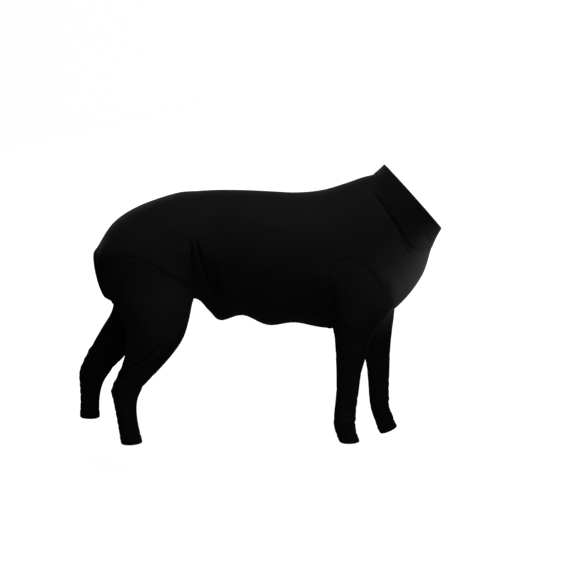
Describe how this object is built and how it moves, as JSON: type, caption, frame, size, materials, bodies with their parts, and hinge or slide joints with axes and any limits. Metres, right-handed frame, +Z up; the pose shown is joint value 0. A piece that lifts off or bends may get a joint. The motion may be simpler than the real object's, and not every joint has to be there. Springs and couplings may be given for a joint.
{
  "type": "dog recovery suit",
  "caption": "Black stretch jersey body suit for a dog, worn form, with stand collar, long sleeves, turned cuffs, tail opening and belly closure.",
  "frame": {"origin": "the cloth's inner face on top of the middle of the back, where the suit sits on its wearer", "axes": "+X to the head end, +Y to the wearer's left, +Z up"},
  "size_m": [0.7514, 0.2519, 0.5791],
  "materials": {
    "jersey": "matt black stretch jersey with a fine knit",
    "doubled_jersey": "the same jersey, doubled and stitched, at the collar and the hems",
    "zip_tape": "black woven tape with a fine moulded coil"
  },
  "bodies": {
    "root": {"torso": "jersey", "hind_right_leg": "jersey", "hind_left_leg": "jersey", "front_right_sleeve": "jersey", "front_left_sleeve": "jersey", "collar": "doubled_jersey", "tail_hem": "doubled_jersey", "hind_right_cuff": "doubled_jersey", "hind_left_cuff": "doubled_jersey", "front_right_cuff": "doubled_jersey", "front_left_cuff": "doubled_jersey", "belly_zip": "zip_tape"}
  },
  "joints": []
}
